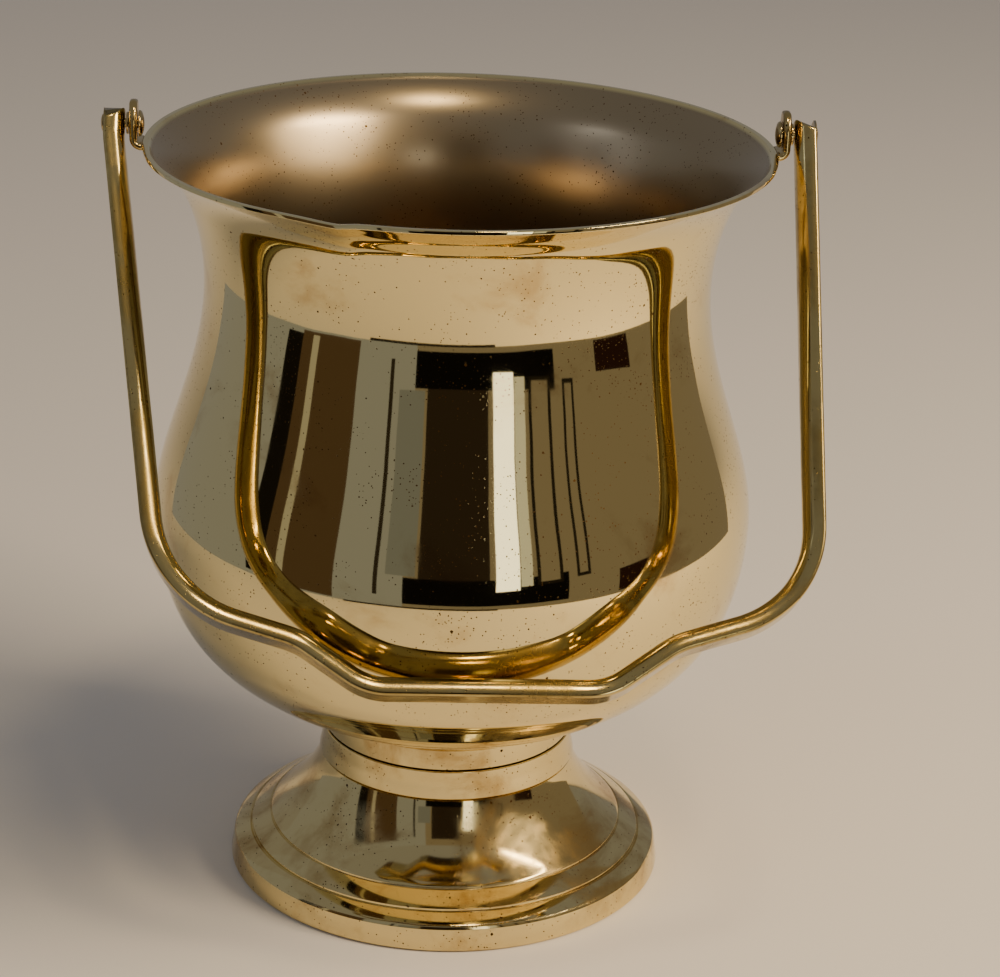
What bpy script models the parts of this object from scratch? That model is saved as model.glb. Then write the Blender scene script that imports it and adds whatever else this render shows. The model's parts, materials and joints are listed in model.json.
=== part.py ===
# Footed brass champagne bucket with a swing bail handle, 8 in across the mouth and 10 in tall to the lip.
#
# Origin: centre of the foot's underside, on the surface that the bucket stands on.
# +Z up, X through the two handle pivots, -Y towards the side where the handle hangs.

import math

import bmesh
import bpy
from mathutils import Matrix, Vector

MM = 0.001
GAP = 0.3                    # clearance kept between pieces that touch on the real object

# Bowl, in millimetres
MOUTH_RADIUS = 101.6
MOUTH_HEIGHT = 253.1
LIP_DEPTH = 1.3              # height of the lip's outer band
LIP_STEP = 0.4               # how far the lip stands proud of the flare below it
WALL = 1.4
# Radius, height and lean of the bowl's outer wall from the lip down; lean is the angle from straight down,
# positive where the wall opens outwards.
BOWL_STATIONS = [
    (MOUTH_RADIUS - LIP_STEP, MOUTH_HEIGHT - LIP_DEPTH, -60.0),
    (88.8, 239.0, -25.0),
    (82.5, 208.0, 0.0),
    (91.6, 164.0, 18.5),
    (99.4, 129.5, 0.0),
    (89.0, 90.0, -34.0),
    (59.3, 66.6, -65.0),
    (41.5, 60.6, -77.0),
]
FLOOR_RADIUS = 34.0          # flat part of the bowl's bottom
FLOOR_HEIGHT = 59.6          # its underside

# Collar, neck ring and foot
COLLAR_RADIUS = 42.3
COLLAR_BOTTOM = 50.6
RING_WALL = 3.2
NECK_TOP_RADIUS = 42.7
NECK_BOTTOM_RADIUS = 43.9
NECK_TOP = 50.1
NECK_BOTTOM = 40.3
FOOT_TOP = 40.0
FOOT_TOP_RADIUS = 43.4
FOOT_WALL = 2.3
INNER_GROOVE = (60.8, 16.2)
OUTER_GROOVE = (67.6, 11.9)
LEDGE = (72.8, 8.7)
BASE_RADIUS = 74.4
BASE_EDGE = 0.9              # rounding of the base band's lower edge
BASE_RIM = 3.0               # height of the straight rim above that edge
FOOT_LAND = 3.0              # width of the flat ring that the foot stands on

# Fastening of the foot
STUD_RADIUS = 4.0
STUD_FLANGE = (16.0, 3.0)    # radius, thickness
STUD_BOTTOM = 22.0
CLAMP_WASHER = (12.0, 1.6)   # radius, thickness
NUT_ACROSS_FLATS = 13.0
NUT_HEIGHT = 6.5

# Ears and pivots
PIVOT_HEIGHT = 258.0
EAR_INNER_FACE = 103.0
EAR_THICKNESS = 2.6
EAR_HALF_WIDTH = 6.5
EAR_TOP_ABOVE_PIVOT = 7.8
EAR_BEND_RADIUS = 2.6        # of the bend's centreline
EAR_BEND_HEIGHT = 254.2      # where the upright ends and the bend starts
RIVET_RADIUS = 1.5
RIVET_HEAD = (4.2, 1.7)      # radius, height of the domed head inside the ear
RIVET_TAIL = (2.9, 0.9)      # radius, height of the peened head outside the handle
SPACER = (3.6, 0.7)          # radius, thickness

# Bail handle, in its own plane: distance from the middle, and depth below the pivots
STRIP_THICKNESS = 6.4        # in the handle's plane
STRIP_WIDTH = 14.0           # square to the handle's plane
STRIP_CORNER = 1.0           # rounding between the flat inner face and the domed outer one
STRIP_DOME = 2.5             # exponent of the domed face's curve
STRIP_END_ABOVE_PIVOT = 4.3
STRIP_END_ROUNDING = 4.5     # how much lower the ends' outer corners are than their middles
STRIP_END_STRAIGHT = 6.0     # depth down to which the ends run square to the pivots
ARM_TOP = 110.3
SHOULDER_CORNER = (101.1, 153.9)
DIP_CORNER = (57.9, 166.9)
GRIP_CORNER = (36.8, 181.45)
ARM_BEND = 60.0
SHOULDER_BEND = 35.5
DIP_BEND = 26.0
GRIP_BEND = 20.0
# The strip is bent by hand: the arms lean towards +X until the whole sway is reached.
GRIP_SWAY = 8.5              # how far the grip sits from the middle
GRIP_TILT = 0.005            # drop of the grip per unit of distance towards +X
SWAY_DEPTH = 150.0

TURNED_STEPS = 64
STRIP_STATIONS = (0.86, 0.6, 0.31, 0.0)     # places across the strip's half width where its section has points


def clear_scene():
    for obj in list(bpy.data.objects):
        bpy.data.objects.remove(obj, do_unlink=True)


def brass(name, colour, roughness):
    material = bpy.data.materials.new(name)
    material.use_nodes = True
    shader = material.node_tree.nodes["Principled BSDF"]
    shader.inputs["Base Color"].default_value = (*colour, 1.0)
    shader.inputs["Metallic"].default_value = 1.0
    shader.inputs["Roughness"].default_value = roughness
    return material


def add_object(name, mesh_data, colour, roughness):
    """Turn a bmesh in millimetres into a named object with its own brass material."""
    bmesh.ops.scale(mesh_data, vec=(MM, MM, MM), verts=mesh_data.verts)
    mesh = bpy.data.meshes.new(name)
    mesh_data.to_mesh(mesh)
    mesh_data.free()
    mesh.shade_smooth()
    mesh.set_sharp_from_angle(angle=math.radians(32))
    obj = bpy.data.objects.new(name, mesh)
    obj.data.materials.append(brass(name + "_brass", colour, roughness))
    bpy.context.collection.objects.link(obj)
    return obj


def turned(outline, steps=TURNED_STEPS):
    """Spin a closed (radius, height) outline about Z into a closed body."""
    body = bmesh.new()
    verts = [body.verts.new((radius, 0.0, height)) for radius, height in outline]
    edges = [body.edges.new(pair) for pair in zip(verts, verts[1:])]
    if outline[0][0] > 0.0:
        edges.append(body.edges.new((verts[-1], verts[0])))
    bmesh.ops.spin(body, geom=verts + edges, cent=(0, 0, 0), axis=(0, 0, 1), angle=math.tau, steps=steps)
    bmesh.ops.remove_doubles(body, verts=body.verts, dist=0.001)
    bmesh.ops.recalc_face_normals(body, faces=body.faces)
    return body


def wall_curve(stations, steps_per_span):
    """Smooth (radius, height, lean) samples through the stations, by cubic Hermite spans."""
    samples = []
    for (r0, z0, lean0), (r1, z1, lean1) in zip(stations, stations[1:]):
        chord = math.hypot(r1 - r0, z1 - z0)
        start = Vector((math.sin(math.radians(lean0)), -math.cos(math.radians(lean0)))) * chord
        end = Vector((math.sin(math.radians(lean1)), -math.cos(math.radians(lean1)))) * chord
        for step in range(steps_per_span):
            t = step / steps_per_span
            point = (
                Vector((r0, z0)) * (2 * t**3 - 3 * t**2 + 1)
                + start * (t**3 - 2 * t**2 + t)
                + Vector((r1, z1)) * (3 * t**2 - 2 * t**3)
                + end * (t**3 - t**2)
            )
            slope = (
                Vector((r0, z0)) * (6 * t**2 - 6 * t)
                + start * (3 * t**2 - 4 * t + 1)
                + Vector((r1, z1)) * (6 * t - 6 * t**2)
                + end * (3 * t**2 - 2 * t)
            )
            samples.append((point.x, point.y, math.atan2(slope.x, -slope.y)))
    radius, height, lean = stations[-1]
    samples.append((radius, height, math.radians(lean)))
    return samples


def offset_curve(samples, distance):
    """Points at a distance outside the wall, or inside it for a negative distance."""
    return [(r + distance * math.cos(lean), z + distance * math.sin(lean)) for r, z, lean in samples]


def bowl_outer(steps_per_span=3):
    return wall_curve(BOWL_STATIONS, steps_per_span)


def bowl():
    wall = bowl_outer()
    outside = [(MOUTH_RADIUS, MOUTH_HEIGHT), (MOUTH_RADIUS, MOUTH_HEIGHT - LIP_DEPTH)]
    outside += offset_curve(wall, 0.0)
    outside += [(FLOOR_RADIUS, FLOOR_HEIGHT), (0.0, FLOOR_HEIGHT)]
    inside = [(0.0, FLOOR_HEIGHT + WALL), (FLOOR_RADIUS, FLOOR_HEIGHT + WALL)]
    inside += offset_curve(wall[1:], -WALL)[::-1]
    inside += [(MOUTH_RADIUS - LIP_STEP - WALL, MOUTH_HEIGHT)]
    return add_object("bowl", turned(outside[::-1] + inside[::-1]), (0.72, 0.58, 0.33), 0.12)


def bowl_collar():
    inner = COLLAR_RADIUS - RING_WALL
    line_depth = 0.35
    top = BOWL_STATIONS[-1][1] - GAP
    outline = [
        (inner, COLLAR_BOTTOM),
        (COLLAR_RADIUS, COLLAR_BOTTOM),
        (COLLAR_RADIUS - 0.2, 57.6),
        (COLLAR_RADIUS - 0.2 - line_depth, 57.9),
        (COLLAR_RADIUS - 0.2, 58.2),
        (COLLAR_RADIUS - 0.2, 58.7),
        (COLLAR_RADIUS - 0.2 - line_depth, 59.0),
        (COLLAR_RADIUS - 0.2, 59.3),
        (COLLAR_RADIUS - 0.6, top),
        (inner, top - 0.6),
    ]
    return add_object("bowl_collar", turned(outline), (0.70, 0.56, 0.32), 0.15)


def neck_ring():
    inner = NECK_TOP_RADIUS - RING_WALL
    edge = 0.4
    outline = [
        (inner, NECK_BOTTOM),
        (NECK_BOTTOM_RADIUS - edge, NECK_BOTTOM),
        (NECK_BOTTOM_RADIUS, NECK_BOTTOM + edge),
        (NECK_TOP_RADIUS + 0.2, (NECK_TOP + NECK_BOTTOM) / 2),
        (NECK_TOP_RADIUS, NECK_TOP - edge),
        (NECK_TOP_RADIUS - edge, NECK_TOP),
        (inner, NECK_TOP),
    ]
    return add_object("neck_ring", turned(outline), (0.70, 0.56, 0.32), 0.15)


def groove(place, width, depth):
    """Three outline points of a turned V groove on a wall that falls outwards."""
    radius, height = place
    return [
        (radius - width / 2, height + width / 3),
        (radius - depth / 2, height - depth),
        (radius + width / 2, height - width / 3),
    ]


def foot():
    flare = wall_curve([(FOOT_TOP_RADIUS, FOOT_TOP - 0.4, 16.0), (*INNER_GROOVE, 50.0)], 6)
    outside = [(FOOT_TOP_RADIUS - 0.6, FOOT_TOP)]
    outside += offset_curve(flare[:-1], 0.0)
    outside += groove(INNER_GROOVE, 0.8, 0.5)
    outside += groove(OUTER_GROOVE, 1.1, 0.8)
    outside += [
        LEDGE,
        (LEDGE[0] + 0.5, LEDGE[1] - 0.7),
        (BASE_RADIUS, BASE_EDGE + BASE_RIM),
        (BASE_RADIUS, BASE_EDGE),
        (BASE_RADIUS - BASE_EDGE, 0.0),
    ]
    bore = STUD_RADIUS + 0.4
    inside = [
        (BASE_RADIUS - BASE_EDGE - FOOT_LAND, 0.0),
        (LEDGE[0] - FOOT_WALL, LEDGE[1] - FOOT_WALL),
        (INNER_GROOVE[0] - 0.6, INNER_GROOVE[1] - FOOT_WALL - 0.6),
    ]
    inside += [point for point in offset_curve(flare[1:-1], -FOOT_WALL)[::-1] if point[1] < FOOT_TOP - 4.0]
    inside += [
        (FOOT_TOP_RADIUS - FOOT_WALL - 0.6, FOOT_TOP - 2.8),
        (bore, FOOT_TOP - 2.8),
        (bore, FOOT_TOP),
    ]
    return add_object("foot", turned(outside + inside), (0.68, 0.54, 0.30), 0.2)


def bowl_stud():
    flange_radius, flange_thickness = STUD_FLANGE
    top = FLOOR_HEIGHT - GAP
    outline = [
        (0.0, STUD_BOTTOM),
        (STUD_RADIUS - 0.8, STUD_BOTTOM),
        (STUD_RADIUS, STUD_BOTTOM + 0.8),
        (STUD_RADIUS, top - flange_thickness),
        (flange_radius, top - flange_thickness),
        (flange_radius, top),
        (0.0, top),
    ]
    return add_object("bowl_stud", turned(outline, 24), (0.62, 0.50, 0.28), 0.35)


def clamp_washer():
    radius, thickness = CLAMP_WASHER
    top = FOOT_TOP - 2.8 - GAP
    bore = STUD_RADIUS + 0.4
    outline = [(bore, top - thickness), (radius, top - thickness), (radius, top), (bore, top)]
    return add_object("clamp_washer", turned(outline, 32), (0.64, 0.52, 0.30), 0.3)


def clamp_nut():
    top = FOOT_TOP - 2.8 - GAP - CLAMP_WASHER[1] - GAP
    corner = NUT_ACROSS_FLATS / 2 / math.cos(math.pi / 6)
    bore = STUD_RADIUS + 0.3
    sides = 24
    body = bmesh.new()
    rings = []
    for height in (top - NUT_HEIGHT, top):
        outer = []
        inner = []
        for index in range(sides):
            angle = math.tau * index / sides
            nearest_flat = math.radians(60) * (math.floor(angle / math.radians(60)) + 0.5)
            reach = NUT_ACROSS_FLATS / 2 / math.cos(angle - nearest_flat)
            reach = min(reach, corner)
            outer.append(body.verts.new((reach * math.cos(angle), reach * math.sin(angle), height)))
            inner.append(body.verts.new((bore * math.cos(angle), bore * math.sin(angle), height)))
        rings.append((outer, inner))
    (low_outer, low_inner), (high_outer, high_inner) = rings
    for index in range(sides):
        after = (index + 1) % sides
        body.faces.new((low_outer[index], low_outer[after], high_outer[after], high_outer[index]))
        body.faces.new((low_inner[after], low_inner[index], high_inner[index], high_inner[after]))
        body.faces.new((high_outer[index], high_outer[after], high_inner[after], high_inner[index]))
        body.faces.new((low_outer[after], low_outer[index], low_inner[index], low_inner[after]))
    bmesh.ops.recalc_face_normals(body, faces=body.faces)
    return add_object("clamp_nut", body, (0.62, 0.50, 0.28), 0.35)


def add_cutter(name, body):
    mesh = bpy.data.meshes.new(name)
    bmesh.ops.scale(body, vec=(MM, MM, MM), verts=body.verts)
    body.to_mesh(mesh)
    body.free()
    cutter = bpy.data.objects.new(name, mesh)
    cutter.hide_render = True
    cutter.display_type = "WIRE"
    bpy.context.collection.objects.link(cutter)
    return cutter


def cut(obj, cutter):
    modifier = obj.modifiers.new(cutter.name, "BOOLEAN")
    modifier.operation = "DIFFERENCE"
    modifier.object = cutter


def pivot_bore_cutter():
    """Long pin through both pivots, larger than the rivets' shanks."""
    body = bmesh.new()
    bmesh.ops.create_cone(
        body,
        cap_ends=True,
        segments=20,
        radius1=RIVET_RADIUS + GAP,
        radius2=RIVET_RADIUS + GAP,
        depth=2 * ARM_TOP + 40.0,
    )
    bmesh.ops.rotate(body, verts=body.verts, matrix=Matrix.Rotation(math.pi / 2, 3, "Y"))
    bmesh.ops.translate(body, verts=body.verts, vec=(0.0, 0.0, PIVOT_HEIGHT))
    return add_cutter("pivot_bore_cutter", body)


def bowl_envelope_cutter():
    """Space that the bowl takes, with clearance, which the ears' brazed ends are fitted to."""
    clear = offset_curve(bowl_outer(6), GAP)
    outline = [(0.0, MOUTH_HEIGHT + GAP), (MOUTH_RADIUS + GAP, MOUTH_HEIGHT + GAP)]
    outline += [(MOUTH_RADIUS + GAP, MOUTH_HEIGHT - LIP_DEPTH - GAP)]
    outline += [point for point in clear if point[0] < MOUTH_RADIUS - 0.5 and point[1] > 200.0]
    outline += [(0.0, 200.0)]
    return add_cutter("bowl_envelope_cutter", turned(outline))


def ear(name, side, cutters):
    """J-shaped tab: a round-topped upright outside the lip whose foot bends in and is brazed to the lip's edge."""
    centre_x = EAR_INNER_FACE + EAR_THICKNESS / 2
    bend_x = centre_x - EAR_BEND_RADIUS
    path = []
    top_steps = 6
    for step in range(top_steps):
        angle = math.pi / 2 * (1 - step / top_steps)
        height = PIVOT_HEIGHT + EAR_TOP_ABOVE_PIVOT * math.sin(angle)
        half_width = max(EAR_HALF_WIDTH * math.cos(angle), EAR_HALF_WIDTH * 0.2)
        path.append((Vector((centre_x, height)), 0.0, half_width))
    path.append((Vector((centre_x, PIVOT_HEIGHT)), 0.0, EAR_HALF_WIDTH))
    bend_steps = 5
    for step in range(bend_steps + 1):
        turn = math.pi / 2 * step / bend_steps
        x = bend_x + EAR_BEND_RADIUS * math.cos(turn)
        z = EAR_BEND_HEIGHT - EAR_BEND_RADIUS * math.sin(turn)
        path.append((Vector((x, z)), turn, EAR_HALF_WIDTH))
    path.append((path[-1][0] - Vector((4.0, 0.0)), math.pi / 2, EAR_HALF_WIDTH))

    body = bmesh.new()
    previous = None
    first = None
    for place, turn, half_width in path:
        outward = Vector((math.cos(turn), -math.sin(turn))) * EAR_THICKNESS / 2
        corners = []
        for sign, width in ((1, half_width), (1, -half_width), (-1, -half_width), (-1, half_width)):
            x, z = place + outward * sign
            corners.append(body.verts.new((side * x, width, z)))
        if previous:
            for index in range(4):
                after = (index + 1) % 4
                body.faces.new((previous[index], previous[after], corners[after], corners[index]))
        else:
            first = corners
        previous = corners
    body.faces.new(first)
    body.faces.new(previous[::-1])
    bmesh.ops.recalc_face_normals(body, faces=body.faces)
    obj = add_object(name, body, (0.68, 0.55, 0.30), 0.2)
    for cutter in cutters:
        cut(obj, cutter)
    return obj


def on_pivot(body, side):
    """Turn a body made about Z so that its +Z points outwards along the pivot axis."""
    bmesh.ops.rotate(body, verts=body.verts, matrix=Matrix.Rotation(side * math.pi / 2, 3, "Y"))
    bmesh.ops.translate(body, verts=body.verts, vec=(0.0, 0.0, PIVOT_HEIGHT))
    return body


def rivet(name, side):
    head_radius, head_height = RIVET_HEAD
    tail_radius, tail_height = RIVET_TAIL
    head_face = EAR_INNER_FACE - GAP
    tail_face = ARM_TOP + STRIP_THICKNESS / 2 + GAP
    edge = 0.2 * head_height
    outline = []
    for step in range(5):
        angle = math.pi / 2 * step / 4
        rise = (head_height - edge) * math.cos(angle)
        outline.append((head_radius * math.sin(angle), head_face - edge - rise))
    outline += [
        (head_radius, head_face),
        (RIVET_RADIUS, head_face),
        (RIVET_RADIUS, tail_face),
        (tail_radius, tail_face),
        (tail_radius - 0.3, tail_face + tail_height * 0.6),
        (tail_radius * 0.6, tail_face + tail_height),
        (0.0, tail_face + tail_height),
    ]
    return add_object(name, on_pivot(turned(outline, 20), side), (0.66, 0.54, 0.30), 0.25)


def spacer(name, side):
    radius, thickness = SPACER
    low = EAR_INNER_FACE + EAR_THICKNESS + GAP
    bore = RIVET_RADIUS + GAP
    outline = [(bore, low), (radius, low), (radius, low + thickness), (bore, low + thickness)]
    return add_object(name, on_pivot(turned(outline, 24), side), (0.60, 0.48, 0.27), 0.3)


def rounded_path(corners, bends, arc_step):
    """Points along straight runs joined by arcs; bends holds the arc radius at each inner corner."""
    points = [Vector(corners[0])]
    for before, corner, after, radius in zip(corners, corners[1:], corners[2:], bends):
        corner = Vector(corner)
        arriving = (corner - Vector(before)).normalized()
        leaving = (Vector(after) - corner).normalized()
        turn = arriving.angle_signed(leaving)
        tangent = radius * math.tan(abs(turn) / 2)
        start = corner - arriving * tangent
        side = Vector((-arriving.y, arriving.x)) * (-1 if turn > 0 else 1)
        centre = start + side * radius
        steps = max(2, math.ceil(abs(turn) / arc_step))
        for step in range(steps + 1):
            angle = -turn * step / steps
            spoke = Matrix.Rotation(angle, 2) @ (start - centre)
            points.append(centre + spoke)
    points.append(Vector(corners[-1]))
    return points


def bail_path():
    """Half of the strip's centreline, (distance from middle, depth below the pivots), from the end to the middle."""
    corners = [(ARM_TOP, -STRIP_END_ABOVE_PIVOT), (ARM_TOP, STRIP_END_STRAIGHT), SHOULDER_CORNER, DIP_CORNER]
    corners += [GRIP_CORNER, (0.0, GRIP_CORNER[1])]
    half = rounded_path(corners, [ARM_BEND, SHOULDER_BEND, DIP_BEND, GRIP_BEND], math.radians(11))
    straight_end = next(index for index, point in enumerate(half) if point.y > STRIP_END_STRAIGHT)
    before, after = half[straight_end - 1], half[straight_end]
    share = (STRIP_END_STRAIGHT - before.y) / (after.y - before.y)
    if 0.01 < share < 0.99:
        half.insert(straight_end, before.lerp(after, share))
    return half


def swayed(distance, depth):
    """Point of the bent strip after its sway, in the bail's own frame with the pivots on X."""
    share = min(1.0, max(0.0, (depth - STRIP_END_STRAIGHT) / (SWAY_DEPTH - STRIP_END_STRAIGHT)))
    return Vector((distance + GRIP_SWAY * share, 0.0, -depth - GRIP_TILT * distance * share))


def strip_section():
    """Outline of the strip's section, (towards the middle, along its width): flat inside, domed outside.

    It starts at one edge, crosses the dome to the other edge and comes back across the flat.
    """
    half_width = STRIP_WIDTH / 2
    edge = STRIP_THICKNESS / 2 - STRIP_CORNER
    rise = STRIP_THICKNESS - STRIP_CORNER
    slant = STRIP_CORNER * math.sqrt(0.5)
    stations = [half_width - STRIP_CORNER + slant] + [half_width * share for share in STRIP_STATIONS]
    stations += [-along for along in stations[-2::-1]]
    dome = [(edge - rise * (1 - abs(along / half_width) ** STRIP_DOME) ** (1 / STRIP_DOME), along)
            for along in stations]
    flat = [(STRIP_THICKNESS / 2, along) for along in stations[::-1]]
    flat[0] = (edge + slant, flat[0][1])
    flat[-1] = (edge + slant, flat[-1][1])
    return [(edge, half_width), *dome, (edge, -half_width), *flat]


def strip_gap(angle, radius, height):
    """Distance from the hanging grip's surface to a point of the bowl's wall."""
    reach = GRIP_CORNER[1]
    out = radius - reach * math.sin(angle)
    up = height - PIVOT_HEIGHT + reach * math.cos(angle)
    across = abs(up * math.cos(angle) - out * math.sin(angle)) - (STRIP_THICKNESS / 2 - STRIP_CORNER)
    along = abs(out * math.cos(angle) + up * math.sin(angle)) - (STRIP_WIDTH / 2 - STRIP_CORNER)
    return math.hypot(max(across, 0.0), max(along, 0.0)) - STRIP_CORNER


def hang_angle():
    """Angle from straight down at which the hanging grip meets the belly."""
    wall = bowl_outer(40)
    angle = math.radians(60)
    while angle > 0.0:
        if min(strip_gap(angle, radius, height) for radius, height, _ in wall) <= GAP:
            return angle
        angle -= math.radians(0.01)
    return angle


def close_strip_end(body, ring):
    """Cap one end of the strip with faces that run straight across its thickness."""
    half = len(ring) // 2
    body.faces.new((ring[0], ring[1], ring[-1]))
    for step in range(1, half - 1):
        body.faces.new((ring[step], ring[step + 1], ring[-step - 1], ring[-step]))
    body.faces.new((ring[half - 1], ring[half], ring[half + 1]))


def bail_handle(cutters):
    half = bail_path()
    centreline = [swayed(point.x, point.y) for point in half]
    centreline += [swayed(-point.x, point.y) for point in half[-2::-1]]
    section = strip_section()
    sides = len(section)
    body = bmesh.new()
    previous = None
    count = len(centreline)
    for index, place in enumerate(centreline):
        before = centreline[max(index - 1, 0)]
        after = centreline[min(index + 1, count - 1)]
        if 0 < index < count - 1:
            along = ((place - before).normalized() + (after - place).normalized()).normalized()
        else:
            along = (after - before).normalized()
        across = Vector((0.0, 1.0, 0.0)).cross(along)
        raised = (place.z + STRIP_END_STRAIGHT) / (STRIP_END_ABOVE_PIVOT + STRIP_END_STRAIGHT)
        rounding = STRIP_END_ROUNDING * min(1.0, max(0.0, raised))
        ring = []
        for thick, wide in section:
            lower = rounding * (2 * wide / STRIP_WIDTH) ** 4
            ring.append(body.verts.new(place + across * thick + Vector((0.0, wide, -lower))))
        if previous:
            for side in range(sides):
                after_side = (side + 1) % sides
                body.faces.new((previous[side], previous[after_side], ring[after_side], ring[side]))
        else:
            close_strip_end(body, ring)
        previous = ring
    close_strip_end(body, previous)
    bmesh.ops.recalc_face_normals(body, faces=body.faces)
    obj = add_object("bail_handle", body, (0.62, 0.50, 0.26), 0.22)
    obj.location = (0.0, 0.0, PIVOT_HEIGHT * MM)
    obj.rotation_euler = (-hang_angle(), 0.0, 0.0)
    for cutter in cutters:
        cut(obj, cutter)
    return obj


def main():
    clear_scene()
    bowl()
    bowl_collar()
    neck_ring()
    foot()
    bowl_stud()
    clamp_washer()
    clamp_nut()
    bore = pivot_bore_cutter()
    envelope = bowl_envelope_cutter()
    for side, word in ((-1, "left"), (1, "right")):
        ear("ear_" + word, side, [envelope, bore])
        rivet("rivet_" + word, side)
        spacer("spacer_" + word, side)
    bail_handle([bore])


main()
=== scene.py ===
"""Looks for a footed brass champagne bucket with a swing bail handle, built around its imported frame.

Lengths in this script are millimetres until a mesh is made, unless a name says otherwise.
"""

import json
import math

import bmesh
import bpy
from mathutils import Matrix, Vector


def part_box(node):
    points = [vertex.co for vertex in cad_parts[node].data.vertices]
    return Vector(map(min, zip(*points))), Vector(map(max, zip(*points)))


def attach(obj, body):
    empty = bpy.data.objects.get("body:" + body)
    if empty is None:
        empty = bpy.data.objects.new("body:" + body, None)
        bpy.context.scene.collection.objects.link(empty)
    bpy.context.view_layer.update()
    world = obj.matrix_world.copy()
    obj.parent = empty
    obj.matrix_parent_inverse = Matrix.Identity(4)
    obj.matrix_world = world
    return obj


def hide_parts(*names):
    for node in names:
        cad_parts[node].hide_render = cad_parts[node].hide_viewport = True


MM = 0.001

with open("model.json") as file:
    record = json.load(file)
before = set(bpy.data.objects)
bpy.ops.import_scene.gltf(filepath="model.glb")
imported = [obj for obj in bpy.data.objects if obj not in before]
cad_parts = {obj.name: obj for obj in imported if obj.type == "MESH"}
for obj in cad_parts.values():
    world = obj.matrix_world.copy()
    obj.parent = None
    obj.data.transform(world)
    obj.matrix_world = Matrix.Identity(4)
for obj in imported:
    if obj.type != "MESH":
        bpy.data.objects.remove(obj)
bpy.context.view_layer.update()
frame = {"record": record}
record = frame["record"]


def node_size(node):
    """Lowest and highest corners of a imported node, in millimetres."""
    low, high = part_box(node)
    return Vector(low) / MM, Vector(high) / MM


# Places and sizes that come from the frame
BOWL_LOW, BOWL_HIGH = node_size("bowl")
COLLAR_LOW, COLLAR_HIGH = node_size("bowl_collar")
NECK_LOW, NECK_HIGH = node_size("neck_ring")
FOOT_HIGH = node_size("foot")[1]
STUD_LOW, STUD_HIGH = node_size("bowl_stud")
WASHER_LOW, WASHER_HIGH = node_size("clamp_washer")
NUT_LOW, NUT_HIGH = node_size("clamp_nut")
EAR_HIGH = node_size("ear_right")[1]
RIVET_LOW, RIVET_HIGH = node_size("rivet_right")
SPACER_LOW, SPACER_HIGH = node_size("spacer_right")
BAIL_LOW = node_size("bail_handle")[0]
PIVOT_HEIGHT = record["behaviour"]["joints"][0]["pos_m"][2] / MM

# Bowl
MOUTH_RADIUS = BOWL_HIGH.x
MOUTH_HEIGHT = BOWL_HIGH.z
WALL = 1.4
LIP_DEPTH = 1.3              # height of the lip's outer band
LIP_STEP = 0.4               # how far the lip stands proud of the flare under it
LIP_EDGE = 0.32              # rounding of the lip's edges
THROAT_RADIUS = 82.5
BELLY_RADIUS = 99.4
FLOOR_RADIUS = 34.0
# Height, radius and lean of the wall, from the lip down; lean is measured from straight down, positive
# where the wall opens outwards.
WALL_STATIONS = [
    (MOUTH_HEIGHT - LIP_DEPTH, MOUTH_RADIUS - LIP_STEP, -60.0),
    (239.0, 88.8, -25.0),
    (208.0, THROAT_RADIUS, 0.0),
    (164.0, 91.6, 18.5),
    (129.5, BELLY_RADIUS, 0.0),
    (90.0, 89.0, -34.0),
    (66.6, 59.3, -65.0),
    (60.6, 41.5, -77.0),
]
THROAT_HEIGHT = WALL_STATIONS[2][0]
# Slow unevenness of the spun sheet, and the knock that the lip has taken
SHEET_WAVE = 0.045           # depth
SHEET_WAVE_LENGTH = 24.0
LIP_WAVE = 0.35              # slow rise and fall of the lip
KNOCK_BEARING = -22.0        # degrees from the front, positive to the right
KNOCK_DEPTH = 0.9
KNOCK_WIDTH = 6.0            # degrees

# Foot
FOOT_TOP_RADIUS = 43.4
FLARE_LEANS = (16.0, 50.0)   # degrees from straight down, at the foot's top and at the inner groove
INNER_GROOVE = (60.8, 16.2)
OUTER_GROOVE = (67.6, 11.9)
LEDGE = (72.8, 8.7)
FOOT_WALL = 2.3
FOOT_PLATE = 2.8             # thickness of the top plate that the stud passes through
BASE_EDGE = 0.9              # rounding of the base band's lower edge
FOOT_LAND = 3.0              # width of the flat ring that the foot stands on

# Handle, in its own plane: distance from the middle and depth below the pivots
STRIP_THICKNESS = 6.38       # in the handle's plane
STRIP_WIDTH = 13.95          # square to the handle's plane
STRIP_CORNER = 1.0           # rounding between the flat inner face and the domed outer one
STRIP_DOME = 2.5             # exponent of the domed face's curve
STRIP_STATIONS = (0.93, 0.84, 0.72, 0.58, 0.44, 0.30, 0.15, 0.0)
ARM_TOP = 110.3
STRIP_END = 4.25             # how far the strip's ends stand above the pivots
END_ROUNDING = 4.5           # how much lower the ends' outer corners are than their middles
END_STRAIGHT = 6.0           # depth down to which the ends run square to the pivots
HANDLE_CORNERS = [           # distance, depth, bend radius
    (ARM_TOP, -STRIP_END, 0.0),
    (ARM_TOP, END_STRAIGHT, 60.0),
    (101.1, 153.9, 35.5),
    (57.9, 166.9, 26.0),
    (36.8, 181.45, 20.0),
]
GRIP_SWAY = 8.5
GRIP_TILT = 0.005
SWAY_DEPTH = 150.0
# Unevenness that hammering and bending left along the strip
STRIP_WAVE = 0.12
STRIP_WAVE_LENGTH = 15.0

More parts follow.
